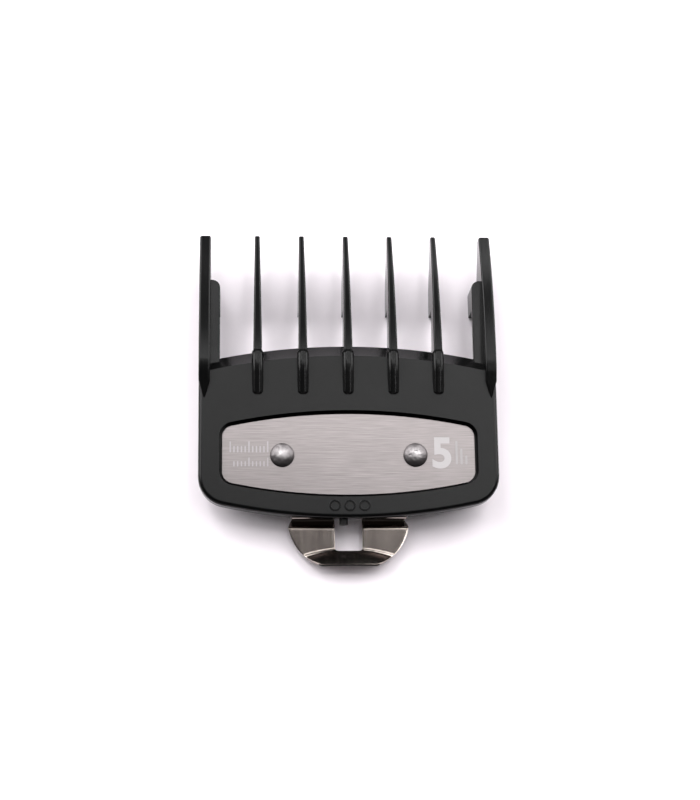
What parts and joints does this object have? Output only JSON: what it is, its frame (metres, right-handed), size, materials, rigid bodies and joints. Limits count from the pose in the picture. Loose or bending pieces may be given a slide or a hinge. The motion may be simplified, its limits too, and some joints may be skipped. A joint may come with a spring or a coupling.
{
  "type": "clipper guard comb",
  "caption": "Hair clipper guard comb with parallel teeth, a riveted barrel-shaped face plate and a sprung sheet-metal heel clip.",
  "frame": {"origin": "middle of the blade seat, the flat underside that lies on the clipper's blade", "axes": "+X across the comb, +Y towards the tooth tips, +Z out of the face that rides on the skin"},
  "size_m": [0.05, 0.0572, 0.0083],
  "materials": {
    "nylon": "satin moulded black glass-filled nylon",
    "brushed_plate": "brushed lengthways",
    "rivet_steel": "tumbled bright, lightly dimpled by setting",
    "spring_steel": "bright nickel-plated"
  },
  "bodies": {
    "comb": {"comb_body": "nylon", "face_plate": "brushed_plate", "rivet_left": "rivet_steel", "rivet_right": "rivet_steel", "clip_leaf": "spring_steel"},
    "latch": {"clip_latch": "spring_steel"}
  },
  "joints": [
    {"name": "latch_flex", "type": "hinge", "parent": "comb", "child": "latch", "pos_m": [0, -0.01725, 0.0009], "axis": [-1, 0, 0], "range_deg": [0, 12], "stiffness_Nm_per_rad": 0.25}
  ]
}
